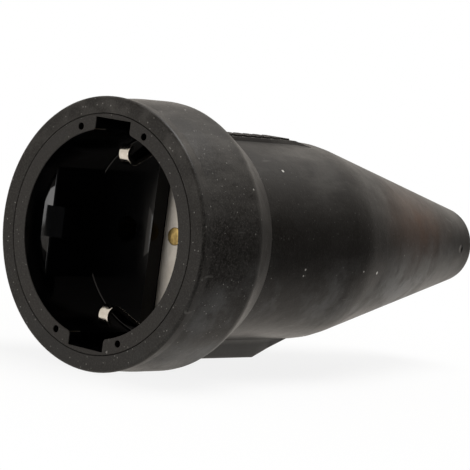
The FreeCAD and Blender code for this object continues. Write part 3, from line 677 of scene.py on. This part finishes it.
def insert_finish(colours):
    """Glossy black plastic with faint smears, a little duller on the recess floor."""
    f = new_finish("insert_plastic_gloss")
    wiped = f.place(scale=(300, 120, 120))
    smears = f.curve(f.noise(1, 4, 0.6, wiped), 0.45, 0.8)
    dust = f.specks(2.5 * MM, 0.14 * MM, 0.08)
    deep = f.along("Y") > 17.5 * MM
    shade = f.mix(dust * 0.5, colours.insert, colours.dust)
    ripple = f.bump(f.noise(220, 2, 0.5), 0.03 * MM, 0.25)
    return f.surface(
        base_color=shade, roughness=0.05 + smears * 0.07 + deep * 0.10, normal=ripple,
        specular_ior_level=0.30,
    )


def nickel_finish(colours):
    """Nickel plate: satin on the flat of the strip, brighter and marked on the clips."""
    f = new_finish("strip_nickel")
    flat = f.fade(f.along("Y"), 19 * MM, 21 * MM)
    marks = f.noise(600, 4, 0.6)
    dull = f.curve(marks, 0.40, 0.70)
    base = f.mix(dull * 0.35, colours.nickel, (0.42, 0.38, 0.33))
    crinkle = f.bump(f.noise(420, 3, 0.6), 0.12 * MM, 0.5)
    return f.surface(
        base_color=base, metallic=1.0, roughness=0.14 + flat * 0.30 + dull * 0.08, normal=crinkle,
    )


def brass_finish(colours):
    """Brass with darker tarnish in patches."""
    f = new_finish("contact_brass")
    patches = f.curve(f.noise(700, 4, 0.6), 0.40, 0.70)
    base = f.mix(patches * 0.6, colours.brass, (0.20, 0.13, 0.05))
    marks = f.bump(f.noise(1800, 3, 0.6), 0.06 * MM, 0.5)
    return f.surface(base_color=base, metallic=1.0, roughness=0.32 + patches * 0.15, normal=marks)


def steel_finish(colours):
    """Zinc-plated steel with turning marks."""
    f = new_finish("screw_steel")
    marks = f.noise(1, 3, 0.5, f.place(scale=(400, 400, 2600)))
    base = f.mix(marks * 0.4, colours.steel, (0.30, 0.30, 0.31))
    rings = f.bump(marks, 0.03 * MM, 0.4)
    return f.surface(base_color=base, metallic=1.0, roughness=0.28 + marks * 0.15, normal=rings)


def carrier_finish(colours):
    """Hard moulded plastic with flow marks."""
    f = new_finish("carrier_plastic_hard")
    flow = f.noise(1, 4, 0.6, f.place(scale=(90, 260, 90)))
    base = f.mix(flow * 0.5, colours.carrier, colours.ring)
    return f.surface(base_color=base, roughness=0.42 + flow * 0.15, normal=f.bump(flow, 0.05 * MM, 0.3))


FINISHES = {
    "rubber": rubber_finish,
    "ring_plastic": ring_finish,
    "insert_plastic": insert_finish,
    "carrier_plastic": carrier_finish,
    "nickel": nickel_finish,
    "brass": brass_finish,
    "steel": steel_finish,
}
WHITE = (1.0, 1.0, 1.0)
WARM = (1.0, 0.93, 0.85)
made_finishes = {}


def finish_for(slot):
    """The finish of a material slot, made once."""
    if slot not in made_finishes:
        made_finishes[slot] = FINISHES[slot](bpy.context.scene.socket_colours)
    return made_finishes[slot]


# pieces

def raise_strip(piece, side, half_width, start, stop, level_at, steps):
    """Raise a strip of a turned skin to a level plane, widening its root in steps.

    side is 1 for the top and -1 for below, level_at gives the height over each depth, and each step
    is (half-width of the strip there, share of the way up). At its far end the strip dies into the skin.
    """
    outer = 0.8 * level_at(start)
    pick(piece, "FACE", lambda middle, normal: (
        side * middle.z > 0 and abs(middle.x) < half_width and start < middle.y < stop
        and math.hypot(middle.x, middle.z) > outer
    ))
    mesh = piece.data
    done = 0.0
    for width, share in steps:
        bpy.ops.mesh.extrude_region_move(TRANSFORM_OT_translate={"value": (0, 0, 0)})
        close_up()
        faces = [face.index for face in mesh.polygons if face.select]
        rings = {}
        for point in mesh.vertices:
            if point.select:
                rings.setdefault(round(point.co.y / TINY), []).append(point.index)
        for members in rings.values():
            depth = mesh.vertices[members[0]].co.y
            if depth > stop - TINY:
                continue
            widest = max(abs(mesh.vertices[index].co.x) for index in members)
            flatten = (1 - share) / (1 - done)
            choose(piece, "VERT", members)
            bpy.ops.transform.resize(
                value=(width / widest, 1, flatten), center_override=(0, depth, side * level_at(depth))
            )
            close_up()
        choose(piece, "FACE", faces)
        done = share
    close_up()


def run_out(depth, level, end, toe, skin):
    """Height of a level strip that slopes down to the skin between its end and its toe."""
    run = min(max((depth - end) / (toe - end), 0), 1)
    return level + (skin - level) * run


class SOCKET_OT_sleeve(bpy.types.Operator):
    """Build the rubber sleeve with its foot, top plate and raised bars"""

    bl_idname = "socket.sleeve"
    bl_label = "Rubber sleeve"

    def execute(self, context):
        s = context.scene.socket_sleeve
        insert = context.scene.socket_insert
        slope = (s.collar_radius - s.collar_back_radius) / (s.collar_depth - s.shoulder_depth)
        heel_depth = s.shoulder_depth + (s.collar_radius - s.foot_level) / slope
        stops = [s.foot_end, s.foot_end + s.foot_bend, s.plate_end, s.foot_toe]
        for number in range(s.bar_count):
            start = s.bar_start + number * s.bar_pitch
            stops += [start, start + s.bar_width]
        grooves = []
        for front in (insert.flange_bead, insert.ring_bead):
            back = front + insert.bead_width
            grooves += bead(back + s.groove_room, front - s.groove_room, s.mouth_radius, s.groove_radius)
        outline = rounded([
            (0, s.mouth_radius, s.mouth_round), (0, s.rim_radius, s.edge_round),
            (s.waist_depth, s.rim_radius - s.waist_drop, s.waist_round),
            (s.collar_start, s.collar_radius, s.long_round),
            (s.shoulder_depth, s.collar_radius, s.soft_round), (heel_depth, s.foot_level),
            (s.collar_depth, s.collar_back_radius, 2 * s.edge_round),
            (s.collar_depth, s.body_radius, s.edge_round),
            *[(depth, s.body_radius) for depth in sorted(stops)],
            (s.cone_depth, s.body_radius, s.long_round), (s.tail_depth, s.tail_radius, s.tail_round),
            (s.tail_depth, s.outlet_radius, s.edge_round / 2),
            (s.tail_depth - s.outlet_length, s.outlet_radius),
            (s.cavity_end, s.cavity_radius, s.soft_round),
            (insert.back_depth, s.cavity_radius), (insert.back_depth, s.seat_radius),
            (insert.flange_depth, s.seat_radius), (insert.flange_depth, s.mouth_radius), *grooves,
        ])
        columns = 126
        piece = turn("rubber_sleeve", outline, columns)
        root_columns = 5
        root = s.body_radius * math.sin(root_columns * math.tau / columns)

        # each step up: a soft root, upright sides and a soft upper edge
        half = s.foot_width / 2
        raise_strip(
            piece, -1, root, heel_depth, s.foot_toe,
            lambda depth: run_out(depth, s.foot_level, s.foot_end, s.foot_toe, s.body_radius),
            [(half + 0.45 * MM, 0.12), (half + 0.15 * MM, 0.32), (half, 0.85), (half - 0.35 * MM, 0.999)],
        )
        half = s.plate_width / 2
        raise_strip(
            piece, 1, root, s.collar_depth + TINY, s.plate_toe,
            lambda depth: run_out(depth, s.plate_level, s.plate_end, s.plate_toe, s.body_radius),
            [(half + 0.25 * MM, 0.25), (half, 0.7), (half - 0.2 * MM, 0.999)],
        )
        merge_points(piece, 0.02 * MM)
        self.raise_bars(piece, s)
        smooth(piece, 38)
        fit(piece, "rubber", "sleeve")
        return {"FINISHED"}

    def raise_bars(self, piece, s):
        """Raise the bars across the top plate, and round their long edges and ends."""
        half = s.plate_width / 2
        bars_end = s.bar_start + s.bar_count * s.bar_pitch
        pick(piece, "FACE", lambda middle, normal: (
            (middle.y - s.bar_start) % s.bar_pitch < s.bar_width and s.bar_start < middle.y < bars_end
            and abs(middle.x) < 0.78 * half and middle.z > s.plate_level - 0.1 * MM
        ))
        bpy.ops.mesh.extrude_region_move(TRANSFORM_OT_translate={"value": (0, 0, s.bar_height)})

        def on_rim(a, b):
            into = (a.y - s.bar_start) % s.bar_pitch
            across = abs(a.y - b.y) < TINY and min(into, abs(into - s.bar_width)) < 5 * TINY
            at_end = abs(a.x - b.x) < TINY and abs(a.x) > 0.7 * half
            return min(a.z, b.z) > s.plate_level + 0.8 * s.bar_height and (across or at_end)

        pick(piece, "EDGE", on_rim)
        bpy.ops.mesh.bevel(offset=s.bar_round, segments=2)
        close_up()


class SOCKET_OT_front_ring(bpy.types.Operator):
    """Build the notched front ring with its four small holes"""

    bl_idname = "socket.front_ring"
    bl_label = "Front ring"

    def execute(self, context):
        s = context.scene.socket_insert
        half = s.notch_width / 2
        piece = turn("front_ring_matt", rounded([
            (0, s.recess_radius), (0, s.ring_radius, s.ring_round),
            *bead(s.ring_bead, s.ring_bead + s.bead_width, s.ring_radius, s.bead_radius),
            (s.ring_depth, s.ring_radius), (s.ring_depth, s.recess_radius),
        ], math.radians(30)), AROUND)
        back = s.ring_depth + PAST
        combine(piece, block("notch_tool", (-half, -PAST, -s.notch_reach), (half, back, s.notch_reach)))
        mouth = math.sqrt(s.recess_radius ** 2 - half ** 2)
        pick(piece, "EDGE", lambda a, b: abs(a.y - b.y) > s.ring_depth / 2 and all(
            abs(abs(end.x) - half) < 0.02 * MM and abs(abs(end.z) - mouth) < 0.05 * MM for end in (a, b)
        ))
        bpy.ops.mesh.bevel(offset=s.mouth_round, segments=5)
        for x_side in (1, -1):
            for z_side in (1, -1):
                x = x_side * s.hole_circle * math.sin(s.hole_angle)
                z = z_side * s.hole_circle * math.cos(s.hole_angle)
                combine(piece, rod("hole_tool", x, z, s.hole_radius, -PAST, back, 24))
        soften(piece, s.ring_edge, 2, 50)
        smooth(piece)
        fit(piece, "ring_plastic", "front_ring")
        return {"FINISHED"}


class SOCKET_OT_insert(bpy.types.Operator):
    """Build the glossy insert with its recess, flats, ribs, slots and floor"""

    bl_idname = "socket.insert"
    bl_label = "Socket insert"

    def execute(self, context):
        s = context.scene.socket_insert
        flange = bead(s.flange_bead, s.flange_bead + s.bead_width, s.ring_radius, s.bead_radius)
        piece = turn("insert_gloss", rounded([
            (s.ring_depth, s.wall_radius), (s.ring_depth, s.ring_radius),
            *flange, (s.flange_depth, s.ring_radius),
            (s.flange_depth, s.boss_radius), (s.back_depth, s.boss_radius), (s.back_depth, 0),
            (s.floor_depth, 0), (s.floor_depth, s.wall_radius, s.floor_round),
        ], math.radians(30)), AROUND)
        for side in (1, -1):
            combine(piece, self.flat_tool(s, side), "UNION")
            rib_x = s.flat_x - s.rib_height
            half = s.rib_width / 2
            rib_end = (s.flat_x + PAST / 2, s.floor_depth + PAST / 2, half)
            rib = block("rib_tool", (rib_x, s.flat_start, -half), rib_end)
            to_side(rib, side)
            combine(piece, rib, "UNION")
            combine(piece, self.lead_tool(s, side, rib_x, half + 0.02 * MM))
        half = s.notch_width / 2
        slot = block("slot_tool", (-half, 0, -s.notch_reach), (half, s.floor_depth, s.notch_reach))
        combine(piece, slot)
        half = s.channel_width / 2
        channel = block(
            "channel_tool", (-half, s.floor_depth - PAST, -s.channel_reach),
            (half + s.channel_room, s.strip_depth, s.channel_reach),
        )
        combine(piece, channel)
        back = s.back_depth + PAST
        for side in (1, -1):
            combine(piece, rod("hole_tool", side * s.pin_x, 0, s.pin_radius, s.floor_depth - PAST, back))
        combine(piece, rod("hole_tool", 0, 0, s.rivet_hole_radius, s.floor_depth, back))
        soften(piece, s.edge, 2, 40)
        smooth(piece)
        fit(piece, "insert_plastic", "socket_body")
        return {"FINISHED"}

    def flat_tool(self, s, side):
        """The body of a side flat: narrower in the wall, with a sloped and rounded front edge."""
        chord = math.sqrt(s.wall_radius ** 2 - s.flat_x ** 2)
        root_x = s.wall_radius + s.flat_root
        flat = block(
            "flat_tool", (s.flat_x, s.flat_start, -chord), (root_x, s.floor_depth + PAST / 2, chord)
        )
        pick(flat, "VERT", lambda co: co.x < s.flat_x + TINY and co.y < s.flat_start + TINY)
        bpy.ops.transform.translate(value=(0, s.ledge_slope, 0))
        pick(flat, "VERT", lambda co: co.x > s.flat_x + TINY)
        bpy.ops.transform.resize(value=(1, 1, 0.55), center_override=(0, 0, 0))
        to_side(flat, side)
        edge_depth = s.flat_start + s.ledge_slope
        pick(flat, "EDGE", lambda a, b: (
            max(a.y, b.y) < edge_depth + TINY and max(abs(a.x), abs(b.x)) < s.flat_x + TINY
        ))
        bpy.ops.mesh.bevel(offset=s.ledge_round, segments=4)
        return flat

    def lead_tool(self, s, side, rib_x, half):
        """A wedge that cuts the slope at a rib's front, from the ring to the rib's face."""
        near_x = rib_x - PAST
        rise = s.rib_lead * (s.recess_radius - near_x) / (s.recess_radius - rib_x)
        back = s.flat_start + rise
        lead = block("lead_tool", (near_x, s.ring_depth, -half), (s.recess_radius, back, half))
        pick(lead, "VERT", lambda co: co.x > s.recess_radius - TINY and co.y > s.ring_depth + TINY)
        bpy.ops.transform.translate(value=(0, -rise, 0))
        to_side(lead, side)
        return lead


class SOCKET_OT_strip(bpy.types.Operator):
    """Build the bent earth strip with its two spring clips"""

    bl_idname = "socket.strip"
    bl_label = "Earth strip"

    def execute(self, context):
        s = context.scene.socket_strip
        line = rounded([
            (s.depth, 0), (s.depth, s.root_reach, s.bend), (s.knee_depth, s.knee_reach, s.knee_round),
            (s.crest_depth, s.crest_reach, s.bend), (s.lip_depth, s.lip_reach, s.lip_round),
            (s.end_depth, s.end_reach),
        ], math.radians(9))
        left_edge = [Vector((-s.width / 2, depth, height)) for depth, height in line]
        piece = draw("earth_strip_bent", left_edge, False)
        open_up(piece)
        columns = 8
        for column in range(columns):
            bpy.ops.mesh.extrude_region_move(TRANSFORM_OT_translate={"value": (s.width / columns, 0, 0)})
        arm_start = s.depth - s.bend + 0.2 * MM
        for row in sorted({round(point.x / TINY) for point in line}):
            if row * TINY <= arm_start:
                pick(piece, "VERT", lambda co: round(co.y / TINY) == row)
                share = self.width_at(s, row * TINY) / s.width
                bpy.ops.transform.resize(value=(share, 1, 1), center_override=(0, 0, 0))
        merge_points(piece)
        modify(piece, "MIRROR", use_axis=(False, False, True), merge_threshold=10 * TINY)
        merge_points(piece)
        modify(piece, "SOLIDIFY", thickness=s.thickness, offset=0, use_even_offset=True)
        soften(piece, s.edge, 3, 50)
        smooth(piece, 45)
        fit(piece, "nickel", "earth_strip")
        return {"FINISHED"}

    def width_at(self, s, depth):
        """Width of a clip over its depth: even up to the knee, then tapering to its crest and its tip."""
        if depth > s.knee_depth:
            return s.clip_width
        if depth > s.crest_depth:
            run = (depth - s.crest_depth) / (s.knee_depth - s.crest_depth)
            return s.crest_width + (s.clip_width - s.crest_width) * run
        return s.tip_width + (s.crest_width - s.tip_width) * depth / s.crest_depth


class SOCKET_OT_rivet(bpy.types.Operator):
    """Build the brass rivet in the middle of the strip"""

    bl_idname = "socket.rivet"
    bl_label = "Earth rivet"

    def execute(self, context):
        s = context.scene.socket_strip
        strip_front = s.depth - s.thickness / 2
        closing_depth = s.rivet_back - s.closing_height
        piece = turn("earth_rivet_head", rounded([
            (s.rivet_front + 0.05 * MM, 0), (s.rivet_front, s.rivet_crown, 0.3 * MM),
            (s.rivet_front + 0.02 * MM, s.rivet_radius, 0.15 * MM), (strip_front, s.rivet_radius),
            (strip_front, s.shank_radius), (closing_depth, s.shank_radius),
            (closing_depth, s.closing_radius), (s.rivet_back, s.closing_radius, 0.4 * MM),
            (s.rivet_back, 0),
        ], math.radians(20)), 48, False)
        smooth(piece)
        fit(piece, "brass", "earth_rivet")
        return {"FINISHED"}


class SOCKET_OT_inner_parts(bpy.types.Operator):
    """Give the inner parts their finishes"""

    bl_idname = "socket.inner_parts"
    bl_label = "Inner parts"

    def execute(self, context):
        for part in frame["record"]["subparts"]:
            node = frame["nodes"][part["node"]]
            for slot in node.material_slots:
                slot.material = finish_for(part["material_slot"])
        return {"FINISHED"}


def floor_finish(level):
    """White paper that takes the shadow, and that reflections show warm, and dark to the right."""
    f = new_finish("floor_paper")
    seen = f.node("ShaderNodeLightPath", output="Is Camera Ray")
    near = f.spot((0, 50 * MM, level), 160 * MM)
    paper = f.node("ShaderNodeBsdfDiffuse", {}, {"Color": (0.86, 0.86, 0.86)})
    viewed = f.blend(seen * (1 - near * 0.15), paper, f.glow(WHITE))
    ahead = f.along("Y")
    ahead = ahead.maths("MINIMUM", ahead, 0.0)
    right = f.curve(f.along("X") * 2.5 - ahead * 0.5 + 0.5, 0.52, 0.66)
    reflected = f.blend(right, f.glow(WARM), f.glow(WHITE, 0.08))
    shade = f.blend(f.mirror_ray(), viewed, reflected)
    f.node("ShaderNodeOutputMaterial", {}, {"Surface": shade})
    return f.owner


def light_world(world):
    """Surroundings: white to the camera, warm in reflections, and dark to the lower right there."""
    f = Finish(world)
    seen = f.node("ShaderNodeLightPath", output="Is Camera Ray")
    mirrored = f.mirror_ray()
    heading = f.node("ShaderNodeTexCoord", output="Generated")
    right = f.vector("DOT_PRODUCT", heading, (0.75, 0.05, -0.65), output="Value")
    bright_side = f.fade(right, -0.35, 0.30, 1.0, 0.03, "SMOOTHSTEP")
    level = seen + (1 - seen) * (mirrored * bright_side * 0.9 + (1 - mirrored) * 0.30)
    light = f.node("ShaderNodeBackground", {}, {"Color": f.mix(seen, WARM, WHITE), "Strength": level})
    f.node("ShaderNodeOutputWorld", {}, {"Surface": light})


class SOCKET_OT_studio(bpy.types.Operator):
    """Build the floor, the lamps, the white surroundings and the camera"""

    bl_idname = "socket.studio"
    bl_label = "Studio"

    def lamp(self, name, place, aim, size, power):
        deselect()
        turned = (Vector(aim) - Vector(place)).to_track_quat("-Z", "Y").to_euler()
        bpy.ops.object.light_add(type="AREA", location=place, rotation=turned)
        lamp = bpy.context.object
        lamp.name = name
        lamp.data.shape = "RECTANGLE"
        lamp.data.size, lamp.data.size_y = size
        lamp.data.energy = power
        lamp.visible_camera = False

    def execute(self, context):
        s = context.scene.socket_studio
        deselect()
        bpy.ops.mesh.primitive_plane_add(size=s.floor_size, location=(0, 0, -s.floor_drop))
        floor = new_piece("studio_floor")
        floor.data.materials.append(floor_finish(-s.floor_drop))

        if context.scene.world is None:
            context.scene.world = bpy.data.worlds.new("studio_world")
        light_world(context.scene.world)
        self.lamp("lamp_above", (0.10, 0.20, 0.75), (0, 45 * MM, 0), (0.5, 0.5), s.lamp_power)
        front_card = (-0.065, -0.262, -0.005)
        self.lamp("lamp_front_card", front_card, (0, 0, -0.005), (0.12, 0.04), s.card_power)

        deselect()
        bpy.ops.object.camera_add(
            location=(s.camera_x, -s.camera_y, s.camera_z),
            rotation=(s.camera_pitch, s.camera_roll, s.camera_turn),
        )
        camera = context.object
        camera.name = "studio_camera"
        camera.data.lens = s.lens
        camera.data.sensor_width = 36
        camera.data.clip_start = 0.05
        camera.data.clip_end = 20
        context.scene.camera = camera
        context.scene.view_settings.view_transform = "Standard"
        return {"FINISHED"}


class SOCKET_PT_panel(bpy.types.Panel):
    """Sidebar panel with the steps in their order"""

    bl_idname = "SOCKET_PT_panel"
    bl_label = "Inline Socket"
    bl_space_type = "VIEW_3D"
    bl_region_type = "UI"
    bl_category = "Socket"

    def draw(self, context):
        for step in STEPS:
            self.layout.operator(step.bl_idname, text=step.bl_label)
        for name, kind in SETTINGS.items():
            box = self.layout.box()
            for field in kind.__annotations__:
                box.prop(getattr(context.scene, name), field)


SETTINGS = {
    "socket_sleeve": SleeveSizes,
    "socket_insert": InsertSizes,
    "socket_strip": StripSizes,
    "socket_colours": SocketColours,
    "socket_studio": StudioSizes,
}
STEPS = (
    SOCKET_OT_sleeve, SOCKET_OT_front_ring, SOCKET_OT_insert, SOCKET_OT_strip, SOCKET_OT_rivet,
    SOCKET_OT_inner_parts, SOCKET_OT_studio,
)


def register():
    for kind in (*SETTINGS.values(), *STEPS, SOCKET_PT_panel):
        bpy.utils.register_class(kind)
    for name, kind in SETTINGS.items():
        setattr(bpy.types.Scene, name, bpy.props.PointerProperty(type=kind))


def unregister():
    for name in SETTINGS:
        delattr(bpy.types.Scene, name)
    for kind in reversed((*SETTINGS.values(), *STEPS, SOCKET_PT_panel)):
        bpy.utils.unregister_class(kind)


def main():
    register()
    bpy.ops.socket.sleeve()
    bpy.ops.socket.front_ring()
    bpy.ops.socket.insert()
    bpy.ops.socket.strip()
    bpy.ops.socket.rivet()
    bpy.ops.socket.inner_parts()
    bpy.ops.socket.studio()


if __name__ == "__main__":
    main()
